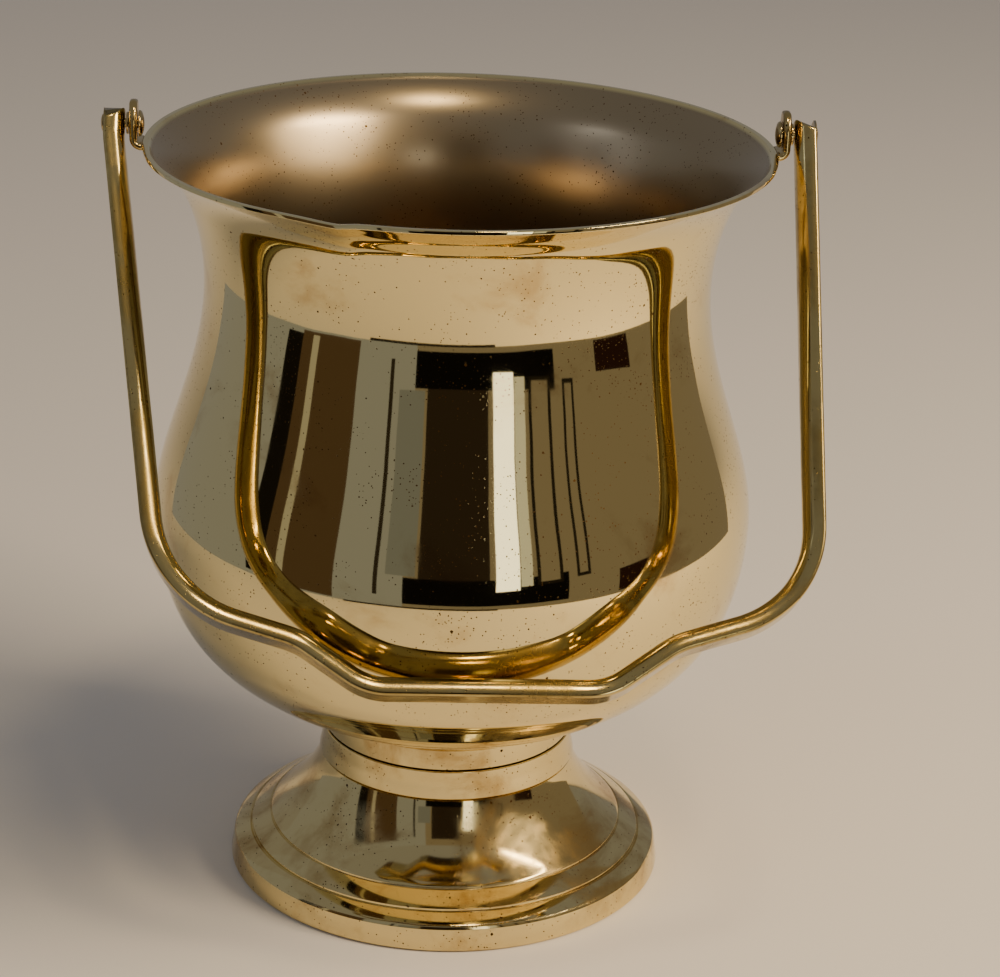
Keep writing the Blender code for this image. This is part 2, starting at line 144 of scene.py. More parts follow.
# Ears, rivets and fixings
EAR_THICKNESS = 2.6
EAR_BEND = 2.6               # radius of the bend that turns the ear in to the lip
EAR_BEND_HEIGHT = 254.2
EAR_SEAT = 0.03              # gap between the ear and the wall that it is fitted to
RIVET_HEAD = 1.4             # height of the dome above its rim
RIVET_RIM = 0.3
RIVET_SHANK = 1.5
RIVET_TAIL_RADIUS = 2.9
PIVOT_BORE = 1.8
STUD_BORE = 4.4              # hole for the stud in the foot's top plate and the washer
THREAD_PITCH = 1.25
THREAD_TURNS = 10.5

TURNED_SIDES = 256
SEAM = 2e-6                  # points nearer than this, in metres, are one point


# ---------------------------------------------------------------- nodes

def linear(hex_colour):
    """RGBA for a shader socket from an sRGB hex colour."""
    channels = [int(hex_colour[i:i + 2], 16) / 255 for i in (1, 3, 5)]
    return (*[c / 12.92 if c <= 0.04045 else ((c + 0.055) / 1.055) ** 2.4 for c in channels], 1.0)


def add_node(tree, kind, inputs=None, **settings):
    """Add a node, set its properties, and fill its inputs by name or number with values or other sockets."""
    node = tree.nodes.new(kind)
    for name, value in settings.items():
        setattr(node, name, value)
    for key, value in (inputs or {}).items():
        socket = node.inputs[key]
        if isinstance(value, bpy.types.NodeSocket):
            tree.links.new(value, socket)
        else:
            socket.default_value = value
    return node


def new_tree(name, sockets):
    """A Geometry Nodes tree with a mesh in, a mesh out and the named inputs."""
    tree = bpy.data.node_groups.new(name, "GeometryNodeTree")
    tree.interface.new_socket("Geometry", in_out="OUTPUT", socket_type="NodeSocketGeometry")
    tree.interface.new_socket("Outline", in_out="INPUT", socket_type="NodeSocketGeometry")
    for socket_name, kind in sockets:
        tree.interface.new_socket(socket_name, in_out="INPUT", socket_type="NodeSocket" + kind)
    return tree, tree.nodes.new("NodeGroupInput").outputs


def finish_tree(tree, geometry, material):
    """Close a tree with flat instances, smooth shading and the piece's material."""
    whole = add_node(tree, "GeometryNodeRealizeInstances", {"Geometry": geometry})
    smooth = add_node(tree, "GeometryNodeSetShadeSmooth", {"Geometry": whole.outputs[0]})
    coated = add_node(tree, "GeometryNodeSetMaterial", {"Geometry": smooth.outputs[0], "Material": material})
    add_node(tree, "NodeGroupOutput", {0: coated.outputs[0]})


def turned_tree():
    """Spin an outline of (radius, height) about Z, and give the sheet its slow unevenness."""
    tree, given = new_tree("turned_piece", [
        ("Sides", "Int"), ("Wave Depth", "Float"), ("Wave Length", "Float"), ("Material", "Material"),
    ])
    spindle = 0.1
    inward = add_node(tree, "GeometryNodeTransform", {
        "Geometry": given["Outline"], "Translation": (-spindle, 0.0, 0.0), "Scale": (1.0, -1.0, 1.0)})
    outline = add_node(tree, "GeometryNodeMeshToCurve", {"Mesh": inward.outputs[0]})
    circle = add_node(tree, "GeometryNodeCurvePrimitiveCircle", {
        "Resolution": given["Sides"], "Radius": spindle})
    spun = add_node(tree, "GeometryNodeCurveToMesh", {
        "Curve": circle.outputs["Curve"], "Profile Curve": outline.outputs[0]})
    closed = add_node(tree, "GeometryNodeMergeByDistance", {"Geometry": spun.outputs[0], "Distance": 2.5 * SEAM})
    tightness = add_node(tree, "ShaderNodeMath", {0: 1.0, 1: given["Wave Length"]}, operation="DIVIDE")
    waves = add_node(tree, "ShaderNodeTexNoise", {"Scale": tightness.outputs[0], "Detail": 1.0})
    swing = add_node(tree, "ShaderNodeMapRange", {"Value": waves.outputs[0], "To Min": -1.0, "To Max": 1.0})
    depth = add_node(tree, "ShaderNodeMath", {
        0: swing.outputs[0], 1: given["Wave Depth"]}, operation="MULTIPLY")
    place = add_node(tree, "GeometryNodeInputPosition")
    flat = add_node(tree, "ShaderNodeVectorMath", {0: place.outputs[0], 1: (1.0, 1.0, 0.0)}, operation="MULTIPLY")
    outward = add_node(tree, "ShaderNodeVectorMath", {0: flat.outputs[0]}, operation="NORMALIZE")
    shift = add_node(tree, "ShaderNodeVectorMath", {
        0: outward.outputs[0], "Scale": depth.outputs[0]}, operation="SCALE")
    uneven = add_node(tree, "GeometryNodeSetPosition", {
        "Geometry": closed.outputs[0], "Offset": shift.outputs[0]})
    finish_tree(tree, uneven.outputs[0], given["Material"])
    return tree


def bent_strip_tree():
    """Round the corners of a path, lean it to one side as it goes down, and sweep a section along it."""
    tree, given = new_tree("bent_strip", [
        ("Section", "Object"), ("Step", "Float"), ("Sway", "Float"), ("Tilt", "Float"), ("Sway Start", "Float"),
        ("Sway Depth", "Float"), ("Wave Depth", "Float"), ("Wave Length", "Float"), ("Material", "Material"),
    ])
    path = add_node(tree, "GeometryNodeMeshToCurve", {"Mesh": given["Outline"]})
    bend = add_node(tree, "GeometryNodeInputNamedAttribute", {"Name": "bend"}, data_type="FLOAT")
    bent = add_node(tree, "GeometryNodeFilletCurve", {
        "Curve": path.outputs[0], "Count": 24, "Radius": bend.outputs[0], "Limit Radius": True}, mode="POLY")
    even = add_node(tree, "GeometryNodeResampleCurve", {
        "Curve": bent.outputs[0], "Length": given["Step"]}, mode="LENGTH")
    place = add_node(tree, "GeometryNodeInputPosition")
    parts = add_node(tree, "ShaderNodeSeparateXYZ", {0: place.outputs[0]})
    depth = add_node(tree, "ShaderNodeMath", {0: parts.outputs["Z"], 1: -1.0}, operation="MULTIPLY")
    share = add_node(tree, "ShaderNodeMapRange", {
        "Value": depth.outputs[0], "From Min": given["Sway Start"], "From Max": given["Sway Depth"]})
    aside = add_node(tree, "ShaderNodeMath", {0: share.outputs[0], 1: given["Sway"]}, operation="MULTIPLY")
    slope = add_node(tree, "ShaderNodeMath", {0: parts.outputs["X"], 1: given["Tilt"]}, operation="MULTIPLY")
    lower = add_node(tree, "ShaderNodeMath", {0: slope.outputs[0], 1: share.outputs[0]}, operation="MULTIPLY")
    down = add_node(tree, "ShaderNodeMath", {0: lower.outputs[0], 1: -1.0}, operation="MULTIPLY")
    shift = add_node(tree, "ShaderNodeCombineXYZ", {"X": aside.outputs[0], "Z": down.outputs[0]})
    swayed = add_node(tree, "GeometryNodeSetPosition", {"Geometry": even.outputs[0], "Offset": shift.outputs[0]})
    level = add_node(tree, "GeometryNodeSetCurveNormal", {
        "Curve": swayed.outputs[0], "Normal": (0.0, 1.0, 0.0)}, mode="FREE")
    section = add_node(tree, "GeometryNodeObjectInfo", {"Object": given["Section"]})
    bar = add_node(tree, "GeometryNodeMeshToCurve", {"Mesh": section.outputs["Geometry"]})
    swept = add_node(tree, "GeometryNodeCurveToMesh", {
        "Curve": level.outputs[0], "Profile Curve": bar.outputs[0], "Fill Caps": True})
    tightness = add_node(tree, "ShaderNodeMath", {0: 1.0, 1: given["Wave Length"]}, operation="DIVIDE")
    waves = add_node(tree, "ShaderNodeTexNoise", {"Scale": tightness.outputs[0], "Detail": 1.5})
    sunk = add_node(tree, "ShaderNodeMath", {0: waves.outputs[0], 1: -1.0}, operation="MULTIPLY")
    dent = add_node(tree, "ShaderNodeMath", {0: sunk.outputs[0], 1: given["Wave Depth"]}, operation="MULTIPLY")
    facing = add_node(tree, "GeometryNodeInputNormal")
    push = add_node(tree, "ShaderNodeVectorMath", {
        0: facing.outputs[0], "Scale": dent.outputs[0]}, operation="SCALE")
    worn = add_node(tree, "GeometryNodeSetPosition", {"Geometry": swept.outputs[0], "Offset": push.outputs[0]})
    finish_tree(tree, worn.outputs[0], given["Material"])
    return tree


def thread_tree():
    """Wind a ridge around a shaft as a screw thread."""
    tree, given = new_tree("screw_thread", [
        ("Radius", "Float"), ("Pitch", "Float"), ("Turns", "Float"), ("Start Height", "Float"),
        ("Material", "Material"),
    ])
    rise = add_node(tree, "ShaderNodeMath", {0: given["Pitch"], 1: given["Turns"]}, operation="MULTIPLY")
    helix = add_node(tree, "GeometryNodeCurveSpiral", {
        "Resolution": 32, "Rotations": given["Turns"], "Start Radius": given["Radius"],
        "End Radius": given["Radius"], "Height": rise.outputs[0]})
    lift = add_node(tree, "ShaderNodeCombineXYZ", {"Z": given["Start Height"]})
    raised = add_node(tree, "GeometryNodeTransform", {
        "Geometry": helix.outputs[0], "Translation": lift.outputs[0]})
    upright = add_node(tree, "GeometryNodeSetCurveNormal", {"Curve": raised.outputs[0]}, mode="Z_UP")
    flank = add_node(tree, "ShaderNodeMath", {0: given["Pitch"], 1: 0.42}, operation="MULTIPLY")
    ridge = add_node(tree, "GeometryNodeCurvePrimitiveCircle", {"Resolution": 6, "Radius": flank.outputs[0]})
    wound = add_node(tree, "GeometryNodeCurveToMesh", {
        "Curve": upright.outputs[0], "Profile Curve": ridge.outputs["Curve"], "Fill Caps": True})
    both = add_node(tree, "GeometryNodeJoinGeometry", {0: given["Outline"]})
    tree.links.new(wound.outputs[0], both.inputs[0])
    finish_tree(tree, both.outputs[0], given["Material"])
    return tree


# ---------------------------------------------------------------- meshes

def grow(tree, name, source, values):
    """Run a Geometry Nodes tree on a source mesh and return its result as a plain object."""
    carrier = bpy.data.objects.new(name + "_source", source)
    bpy.context.collection.objects.link(carrier)
    modifier = carrier.modifiers.new(tree.name, "NODES")
    modifier.node_group = tree
    sockets = {item.name: item.identifier for item in tree.interface.items_tree if item.in_out == "INPUT"}
    for key, value in values.items():
        modifier[sockets[key]] = value
    depsgraph = bpy.context.evaluated_depsgraph_get()
    mesh = bpy.data.meshes.new_from_object(carrier.evaluated_get(depsgraph))
    bpy.data.objects.remove(carrier, do_unlink=True)
    mesh.name = name
    piece = bpy.data.objects.new(name, mesh)
    bpy.context.collection.objects.link(piece)
    return piece


def outline_mesh(name, points, closed, marks=None):
    """A chain of points as a mesh with edges only; marks holds named numbers for each point."""
    mesh = bpy.data.meshes.new(name)
    chain = [(i, i + 1) for i in range(len(points) - 1)]
    if closed:
        chain.append((len(points) - 1, 0))
    mesh.from_pydata([Vector(point) * MM for point in points], chain, [])
    for key, numbers in (marks or {}).items():
        mesh.attributes.new(key, "FLOAT", "POINT").data.foreach_set("value", numbers)
    return mesh


def settle(piece, crease=35.0):
    """Merge seams, turn every face outwards and keep true edges crisp."""
    body = bmesh.new()
    body.from_mesh(piece.data)
    bmesh.ops.remove_doubles(body, verts=body.verts, dist=SEAM)
    bmesh.ops.dissolve_degenerate(body, dist=1e-7, edges=body.edges)
    bmesh.ops.recalc_face_normals(body, faces=body.faces)
    if body.calc_volume(signed=True) < 0.0:
        bmesh.ops.reverse_faces(body, faces=body.faces)
    body.to_mesh(piece.data)
    body.free()
    piece.data.shade_smooth()
    piece.data.set_sharp_from_angle(angle=math.radians(crease))
    return piece


def rounded(corners, closed=True):
    """Outline points from corners of (radius, height, rounding), with an arc at each rounded corner."""
    points = []
    count = len(corners)
    for index, (radius, height, rounding) in enumerate(corners):
        corner = Vector((radius, height))
        if rounding == 0.0 or (not closed and index in (0, count - 1)):
            points.append(corner)
            continue
        arriving = (corner - Vector(corners[index - 1][:2])).normalized()
        leaving = (Vector(corners[(index + 1) % count][:2]) - corner).normalized()
        turn = arriving.angle_signed(leaving)
        reach = rounding * math.tan(abs(turn) / 2)
        start = corner - arriving * reach
        centre = start + Vector((-arriving.y, arriving.x)) * math.copysign(rounding, -turn)
        steps = max(2, math.ceil(abs(math.degrees(turn)) / 15))
        for step in range(steps + 1):
            points.append(centre + Matrix.Rotation(-turn * step / steps, 2) @ (start - centre))
    return points


def turned_piece(name, outline, material, closed=True, sides=TURNED_SIDES, wave=0.0, marks=None):
    source = outline_mesh(name, [(p[0], p[1], 0.0) for p in outline], closed, marks)
    piece = grow(TURNED, name, source, {
        "Sides": sides, "Wave Depth": wave * MM, "Wave Length": SHEET_WAVE_LENGTH * MM, "Material": material})
    return settle(piece)


def heading(lean, length):
    """Arrow of a length, leaning outwards from straight down."""
    return Vector((math.sin(lean), -math.cos(lean))) * length


def eased(start, leaving, end, arriving, t):
    """Point on the cubic that leaves one point and arrives at another along two arrows."""
    return (start * (2 * t**3 - 3 * t**2 + 1) + leaving * (t**3 - 2 * t**2 + t)
            + end * (3 * t**2 - 2 * t**3) + arriving * (t**3 - t**2))


def wall_curve(steps):
    """Radius, height and lean along the bowl's outer wall, through its stations."""
    samples = []
    for (z0, r0, lean0), (z1, r1, lean1) in zip(WALL_STATIONS, WALL_STATIONS[1:]):
        chord = math.hypot(r1 - r0, z1 - z0)
        a, b = Vector((r0, z0)), Vector((r1, z1))
        lean0, lean1 = math.radians(lean0), math.radians(lean1)
        leaving, arriving = heading(lean0, chord), heading(lean1, chord)
        for step in range(steps):
            t = step / steps
            point = eased(a, leaving, b, arriving, t)
            slope = (a * (6 * t**2 - 6 * t) + leaving * (3 * t**2 - 4 * t + 1)
                     + b * (6 * t - 6 * t**2) + arriving * (3 * t**2 - 2 * t))
            samples.append((point.x, point.y, math.atan2(slope.x, -slope.y)))
    z, r, lean = WALL_STATIONS[-1]
    samples.append((r, z, math.radians(lean)))
    return samples


def wall_radius(height):
    """Outer radius of the bowl at a height."""
    samples = wall_curve(16)
    for (r0, z0, _), (r1, z1, _) in zip(samples, samples[1:]):
        if z1 <= height <= z0:
            return r1 + (r0 - r1) * (height - z1) / (z0 - z1)
    return MOUTH_RADIUS


def bowl(material):
    """Spun sheet bowl: outer wall, lip and inner wall as one closed skin."""
    wall = wall_curve(16)
    bottom = BOWL_LOW.z
    lip = rounded([
        (MOUTH_RADIUS - LIP_STEP - WALL - 0.6, MOUTH_HEIGHT - 0.45, 0.0),
        (MOUTH_RADIUS - LIP_STEP - WALL, MOUTH_HEIGHT, LIP_EDGE),
        (MOUTH_RADIUS, MOUTH_HEIGHT, LIP_EDGE),
        (MOUTH_RADIUS, MOUTH_HEIGHT - LIP_DEPTH, LIP_EDGE),
        (MOUTH_RADIUS - LIP_STEP - 0.5, MOUTH_HEIGHT - LIP_DEPTH - 0.25, 0.2),
        (wall[1][0], wall[1][1], 0.0),
    ], closed=False)[:-1]
    outer = [(r, z) for r, z, _ in wall[1:]] + [(FLOOR_RADIUS, bottom), (0.0, bottom)]
    inner = [(0.0, bottom + WALL), (FLOOR_RADIUS, bottom + WALL)]
    inner += [(r - WALL * math.cos(lean), z - WALL * math.sin(lean)) for r, z, lean in wall[:1:-1]]
    outline = [*inner, *lip, *outer]
    inside = [1.0] * len(inner) + [0.0] * (len(lip) + len(outer))
    piece = turned_piece("bowl_skin", outline, material, closed=False, wave=SHEET_WAVE,
                         marks={"inside": inside})
    for vertex in piece.data.vertices:
        place = vertex.co / MM
        bearing = math.degrees(math.atan2(place.x, -place.y))
        near_lip = max(0.0, min(1.0, (place.z - THROAT_HEIGHT) / (MOUTH_HEIGHT - THROAT_HEIGHT))) ** 3
        lift = LIP_WAVE * (math.sin(math.radians(2 * bearing + 40)) - 1.0) / 2
        across = (bearing - KNOCK_BEARING) / KNOCK_WIDTH
        lift -= KNOCK_DEPTH * math.exp(-across * across) * (1.0 if across < 0.0 else math.exp(-3.0 * across))
        vertex.co.z += lift * near_lip * MM
    return piece


def bowl_collar(material):
    """Short turned ring under the bowl, with two fine lines near its top."""
    radius, low, high = COLLAR_HIGH.x, COLLAR_LOW.z, COLLAR_HIGH.z
    face = radius - 0.2
    line = 0.35
    outline = rounded([
        (radius - 3.2, low, 0.3), (radius, low, 0.25),
        (face, low + 6.9, 0.1), (face - line, low + 7.25, 0.08), (face, low + 7.6, 0.1),
        (face, low + 8.0, 0.1), (face - line, low + 8.35, 0.08), (face, low + 8.7, 0.1),
        (face - 0.25, high, 0.15), (radius - 3.2, high - 0.6, 0.3),
    ])
    return turned_piece("collar_ring", outline, material)


def neck_ring(material):
    """Turned ring between the collar and the foot, waisted between two edges."""
    low, high = NECK_LOW.z, NECK_HIGH.z
    wide = NECK_HIGH.x
    narrow = wide - 1.2
    middle = (low + high) / 2
    outline = rounded([
        (narrow - 3.2, low, 0.3), (wide, low, 0.45), (narrow + 0.25, middle, 12.0),
        (narrow, high, 0.4), (narrow - 3.2, high, 0.3),
    ])
    return turned_piece("neck_band", outline, material)


def groove(place, width, depth):
    """Corners of a cut line on a wall that falls outwards."""
    radius, height = place
    return [
        (radius - width / 2, height + width / 3, 0.12),
        (radius - depth / 2, height - depth, 0.12),
        (radius + width / 2, height - width / 3, 0.12),
    ]


def foot_flare(steps):
    """Radius, height and lean from the foot's top down to the inner groove."""
    top = Vector((FOOT_TOP_RADIUS, FOOT_HIGH.z - 0.4))
    end = Vector(INNER_GROOVE)
    chord = (end - top).length
    lean0, lean1 = [math.radians(lean) for lean in FLARE_LEANS]
    leaving, arriving = heading(lean0, chord), heading(lean1, chord)
    samples = []
    for step in range(steps):
        t = step / steps
        point = eased(top, leaving, end, arriving, t)
        samples.append((point.x, point.y, lean0 + (lean1 - lean0) * t))
    return samples


def foot(material):
    """Hollow pedestal foot with two cut lines, a ledge and a base band."""
    base = FOOT_HIGH.x
    top = FOOT_HIGH.z
    flare = foot_flare(20)
    corners = [(FOOT_TOP_RADIUS - 0.6, top, 0.0)] + [(r, z, 0.0) for r, z, _ in flare]
    corners += groove(INNER_GROOVE, 0.8, 0.5) + groove(OUTER_GROOVE, 1.1, 0.8)
    corners += [
        (LEDGE[0] - 0.9, LEDGE[1] + 0.72, 0.0),
        (*LEDGE, 0.4),
        (LEDGE[0] + 0.45, LEDGE[1] - 0.8, 0.3),
        (base, BASE_EDGE, 0.7),
        (base - BASE_EDGE, 0.0, 0.25),
        (base - BASE_EDGE - FOOT_LAND, 0.0, 0.3),
        (LEDGE[0] - FOOT_WALL, LEDGE[1] - FOOT_WALL, 1.5),
        (INNER_GROOVE[0] - 0.6, INNER_GROOVE[1] - FOOT_WALL - 0.6, 0.0),
    ]
    inside = [(r - FOOT_WALL * math.cos(a), z - FOOT_WALL * math.sin(a), 0.0) for r, z, a in flare[::-1]]
    corners += [corner for corner in inside if corner[1] < top - 4.0][1:]
    ceiling = top - FOOT_PLATE
    corners += [(40.5, ceiling, 0.0), (STUD_BORE, ceiling, 0.2), (STUD_BORE, top, 0.3)]
    return turned_piece("foot_casting", rounded(corners), material, wave=0.02)


def bowl_stud(material):
    """Flanged stud with a rolled thread."""
    radius, low, high = 4.0, STUD_LOW.z, STUD_HIGH.z
    core = radius - 0.45
    flange = high - 3.0
    outline = rounded([
        (0.0, low, 0.0), (core - 0.7, low, 0.2), (core, low + 0.8, 0.3), (core, flange, 0.5),
        (STUD_HIGH.x, flange, 0.4), (STUD_HIGH.x, high, 0.4), (0.0, high, 0.0),
    ], closed=False)
    shaft = turned_piece("stud_shaft", outline, material, closed=False, sides=96)
    piece = grow(THREAD, "stud", shaft.data, {
        "Radius": (core + 0.02) * MM, "Pitch": THREAD_PITCH * MM, "Turns": THREAD_TURNS,
        "Start Height": (low + 1.3) * MM, "Material": material})
    bpy.data.objects.remove(shaft, do_unlink=True)
    return settle(piece)


def clamp_washer(material):
    """Wide flat washer under the foot's top plate."""
    radius, low, high = WASHER_HIGH.x, WASHER_LOW.z, WASHER_HIGH.z
    outline = rounded([
        (STUD_BORE, low, 0.2), (radius, low, 0.35), (radius, high, 0.2), (STUD_BORE, high, 0.15),
    ])
    return turned_piece("washer", outline, material, sides=128)


def clamp_nut(material):
    """Hexagon nut with turned chamfers and a drilled bore."""
    flats, low, high = NUT_HIGH.y, NUT_LOW.z, NUT_HIGH.z
    bore, chamfer = 4.3, 0.7
    sides = 96
    body = bmesh.new()
    levels = [low, low + chamfer, (low + high) / 2, high - chamfer, high]
    rings = []
    for height in levels:
        ring = []
        edge = min(height - low, high - height)
        for index in range(sides):
            angle = math.tau * index / sides
            to_flat = flats / math.cos(angle % (math.pi / 3) - math.pi / 6)
            reach = min(to_flat, flats + 0.25 + edge * 1.1)
            ring.append(body.verts.new((reach * math.cos(angle), reach * math.sin(angle), height)))
        rings.append(ring)
    for height in (high, low):
        rings.append([body.verts.new((bore * math.cos(math.tau * index / sides),
                                      bore * math.sin(math.tau * index / sides), height))
                      for index in range(sides)])
    rings.append(rings[0])
    join_rings(body, rings)
    bmesh.ops.scale(body, vec=(MM, MM, MM), verts=body.verts)
    return bmesh_piece("nut", body, material)


def join_rings(body, rings):
    """Fill between each ring of points and the next with four-sided faces."""
    for lower, upper in zip(rings, rings[1:]):
        for index in range(len(lower)):
            after = (index + 1) % len(lower)
            body.faces.new((lower[index], lower[after], upper[after], upper[index]))


def bmesh_piece(name, body, material):
    """Object with a material from faces built by hand."""
    mesh = bpy.data.meshes.new(name)
    body.to_mesh(mesh)
    body.free()
    mesh.materials.append(material)
    piece = bpy.data.objects.new(name, mesh)
    bpy.context.collection.objects.link(piece)
    return settle(piece)


def ear(name, side, material):
    """J-shaped tab of strip brass with a hammered round edge, its foot brazed to the lip."""
    half_thickness = EAR_THICKNESS / 2
    half_width = EAR_HIGH.y
    centre_x = EAR_HIGH.x - half_thickness
    top = EAR_HIGH.z
    edge = 1.0               # depth over which the rounded top grows to the full thickness
    stations = []            # distance out, height, turn, half width and half thickness down the tab
    top_steps, bend_steps, foot_steps = 18, 12, 6
    for step in range(top_steps + 1):
        angle = math.pi / 2 * step / top_steps
        height = PIVOT_HEIGHT + (top - PIVOT_HEIGHT) * math.cos(angle)
        width = max(half_width * math.sin(angle), 0.12)
        depth = min(1.0, (top - height) / edge)
        swell = math.sqrt(max(0.04, 1 - (1 - depth)**2))
        stations.append((centre_x, height, 0.0, width, half_thickness * swell))
    for step in range(bend_steps + 1):
        turn = math.pi / 2 * step / bend_steps
        stations.append((centre_x - EAR_BEND + EAR_BEND * math.cos(turn),
                         EAR_BEND_HEIGHT - EAR_BEND * math.sin(turn), turn, half_width, half_thickness))
    x, z = stations[-1][:2]
    for step in range(1, foot_steps + 1):
        stations.append((x - step * 0.62, z, math.pi / 2, half_width - 0.25 * step,
                         half_thickness - 0.06 * step))
    body = bmesh.new()
    rings = []
    points = 40
    brow = MOUTH_HEIGHT + 0.02
    for x, z, turn, width, half_thick in stations:
        ring = []
        for index in range(points):
            angle = math.tau * index / points
            c, s = math.cos(angle), math.sin(angle)
            out = math.copysign(abs(c) ** 0.75, c) * half_thick
            along_y = math.copysign(abs(s) ** 0.32, s) * width
            px = x + out * math.cos(turn)
            pz = z - out * math.sin(turn)
            wall = wall_radius(pz) + EAR_SEAT if pz < brow else 0.0
            if MOUTH_HEIGHT - LIP_DEPTH < pz < brow:
                wall = MOUTH_RADIUS + EAR_SEAT
            if math.hypot(px, along_y) < wall:
                px = math.sqrt(max(wall * wall - along_y * along_y, 0.0))
            ring.append(body.verts.new((side * px, along_y, pz)))
        rings.append(ring)
    join_rings(body, rings)
    body.faces.new(rings[0])
    body.faces.new(rings[-1][::-1])
    bmesh.ops.scale(body, vec=(MM, MM, MM), verts=body.verts)
    return bmesh_piece(name, body, material)


def on_pivot(piece, side):
    """Lay a piece turned about Z along the pivot line, its +Z pointing outwards."""
    turn = Matrix.Rotation(side * math.pi / 2, 4, "Y")
    piece.data.transform(Matrix.Translation((0.0, 0.0, PIVOT_HEIGHT * MM)) @ turn)
    return piece


def rivet(name, side, material):
    """Rivet with a domed head inside the ear and a hammered tail outside the handle."""
    head_radius = RIVET_HIGH.y
    inner, outer = RIVET_LOW.x, RIVET_HIGH.x
    head_face, tail_face = inner + 1.7, outer - 0.9
    outline = []
    dome_steps = 12
    for step in range(dome_steps + 1):
        angle = math.pi / 2 * step / dome_steps
        outline.append(Vector((head_radius * math.sin(angle),
                               head_face - RIVET_RIM - RIVET_HEAD * math.cos(angle))))
    outline += rounded([
        (head_radius, head_face - RIVET_RIM, 0.0), (head_radius, head_face, 0.12),
        (RIVET_SHANK, head_face, 0.1), (RIVET_SHANK, tail_face, 0.1), (RIVET_TAIL_RADIUS, tail_face, 0.2),
        (RIVET_TAIL_RADIUS - 0.2, tail_face + 0.45, 0.3), (1.7, outer - 0.05, 1.5), (0.0, outer, 0.0),
    ], closed=False)[1:]
    return on_pivot(turned_piece(name, outline, material, closed=False, sides=64, wave=0.04), side)


def spacer(name, side, material):
    """Thin washer that keeps the handle's end off the ear."""
    radius, low, high = SPACER_HIGH.y, SPACER_LOW.x, SPACER_HIGH.x
    outline = rounded([
        (PIVOT_BORE, low, 0.1), (radius, low, 0.15), (radius, high, 0.15), (PIVOT_BORE, high, 0.1),
    ])
    return on_pivot(turned_piece(name, outline, material, sides=64), side)


def strip_section():
    """Outline of the strip's section, (along its width, towards the middle): flat inside, domed outside."""
    half_width = STRIP_WIDTH / 2
    edge = STRIP_THICKNESS / 2 - STRIP_CORNER
    rise = STRIP_THICKNESS - STRIP_CORNER
    stations = [half_width * share for share in STRIP_STATIONS]
    stations += [-along for along in stations[-2::-1]]
    points = [(along, edge - rise * (1 - abs(along / half_width) ** STRIP_DOME) ** (1 / STRIP_DOME), 0.0)
              for along in stations]
    for side, start in ((-1, 180), (1, 90)):
        if side > 0:
            points += [(along, edge + STRIP_CORNER, 0.0) for along in stations[::-1]
                       if abs(along) < 0.8 * half_width]
        for step in range(7):
            angle = math.radians(start - 15 * step)
            centre = side * (half_width - STRIP_CORNER)
            points.append((centre + STRIP_CORNER * math.cos(angle), edge + STRIP_CORNER * math.sin(angle), 0.0))
    return points


def bail_handle(material):
    """Half-round strip bent by hand into arms, shoulders and a dipped grip, hung so that it meets the belly."""
    right = [(distance, 0.0, -depth) for distance, depth, _ in HANDLE_CORNERS]
    left = [(-x, y, z) for x, y, z in right[::-1]]
    bends = [bend for _, _, bend in HANDLE_CORNERS]
    source = outline_mesh("handle_path", right + left, False, {"bend": [b * MM for b in bends + bends[::-1]]})
    section = bpy.data.objects.new("strip_section", outline_mesh("strip_section", strip_section(), True))
    bpy.context.collection.objects.link(section)
    piece = grow(BENT_STRIP, "bail_strip", source, {
        "Section": section, "Step": 1.2 * MM, "Sway": GRIP_SWAY * MM, "Tilt": GRIP_TILT,
        "Sway Start": END_STRAIGHT * MM, "Sway Depth": SWAY_DEPTH * MM, "Wave Depth": STRIP_WAVE * MM,
        "Wave Length": STRIP_WAVE_LENGTH * MM, "Material": material})
    bpy.data.objects.remove(section, do_unlink=True)
    for vertex in piece.data.vertices:
        share = (vertex.co.z / MM + END_STRAIGHT) / (STRIP_END + END_STRAIGHT)
        across = 2 * vertex.co.y / MM / STRIP_WIDTH
        vertex.co.z -= END_ROUNDING * max(0.0, share) * across ** 4 * MM
    settle(piece)
    soften_edges(piece, 0.35)
    low, high = math.radians(20), math.radians(50)
    while high - low > 1e-5:
        hang = (low + high) / 2
        front = min(v.co.y * math.cos(hang) + v.co.z * math.sin(hang) for v in piece.data.vertices)
        low, high = (hang, high) if front / MM > BAIL_LOW.y else (low, hang)
    piece.data.transform(Matrix.Translation((0.0, 0.0, PIVOT_HEIGHT * MM)) @ Matrix.Rotation(-hang, 4, "X"))
    return piece


def soften_edges(piece, width):
    """Round the sharp edges of a piece and keep the result as its mesh."""
    modifier = piece.modifiers.new("soften", "BEVEL")
    modifier.width = width * MM
    modifier.segments = 4
    modifier.limit_method = "ANGLE"
    modifier.angle_limit = math.radians(60)
    depsgraph = bpy.context.evaluated_depsgraph_get()
    mesh = bpy.data.meshes.new_from_object(piece.evaluated_get(depsgraph))
    piece.modifiers.clear()
    piece.data = mesh
    settle(piece)


# ---------------------------------------------------------------- materials

# Fine and large pits: spacing against a brass's own pit size, share of sites pitted against its own share, and
# least and most radius in spacings
PIT_SIZES = [(1.0, 1.0, 0.11, 0.28), (3.6, 0.45, 0.06, 0.15)]


